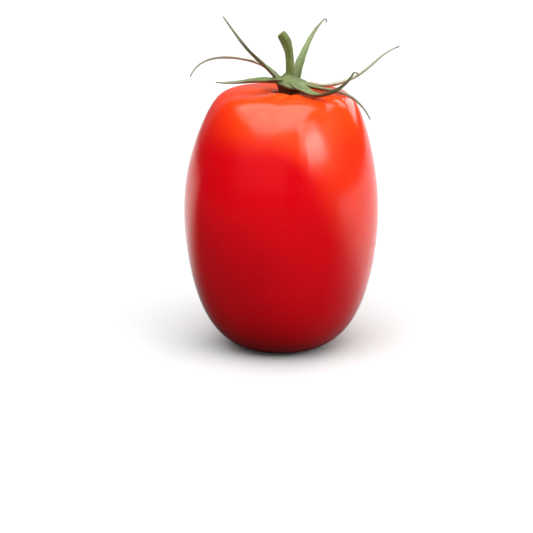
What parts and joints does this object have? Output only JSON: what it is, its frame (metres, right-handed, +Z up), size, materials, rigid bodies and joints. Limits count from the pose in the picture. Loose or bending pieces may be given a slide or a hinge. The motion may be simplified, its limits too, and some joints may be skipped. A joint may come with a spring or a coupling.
{
  "type": "plum tomato",
  "caption": "Upright ripe plum tomato, oval and softly lobed at the shoulders, with its star-shaped green calyx and short bent stalk.",
  "frame": {"origin": "centre of the small flat spot at the blossom end that the fruit rests on", "axes": "+Z up the fruit towards its stalk, -Y towards the viewer of the picture, +X to that viewer's right"},
  "size_m": [0.0554, 0.05, 0.0858],
  "materials": {
    "fruit": "glossy ripe red tomato skin, a little orange at the shoulders",
    "calyx": "matt sage-green leaf with finely haired edges and dried tips",
    "stalk": "matt green plant stem with a pale corky broken end"
  },
  "bodies": {
    "root": {"fruit": "fruit", "calyx": "calyx", "stalk": "stalk"}
  },
  "joints": []
}
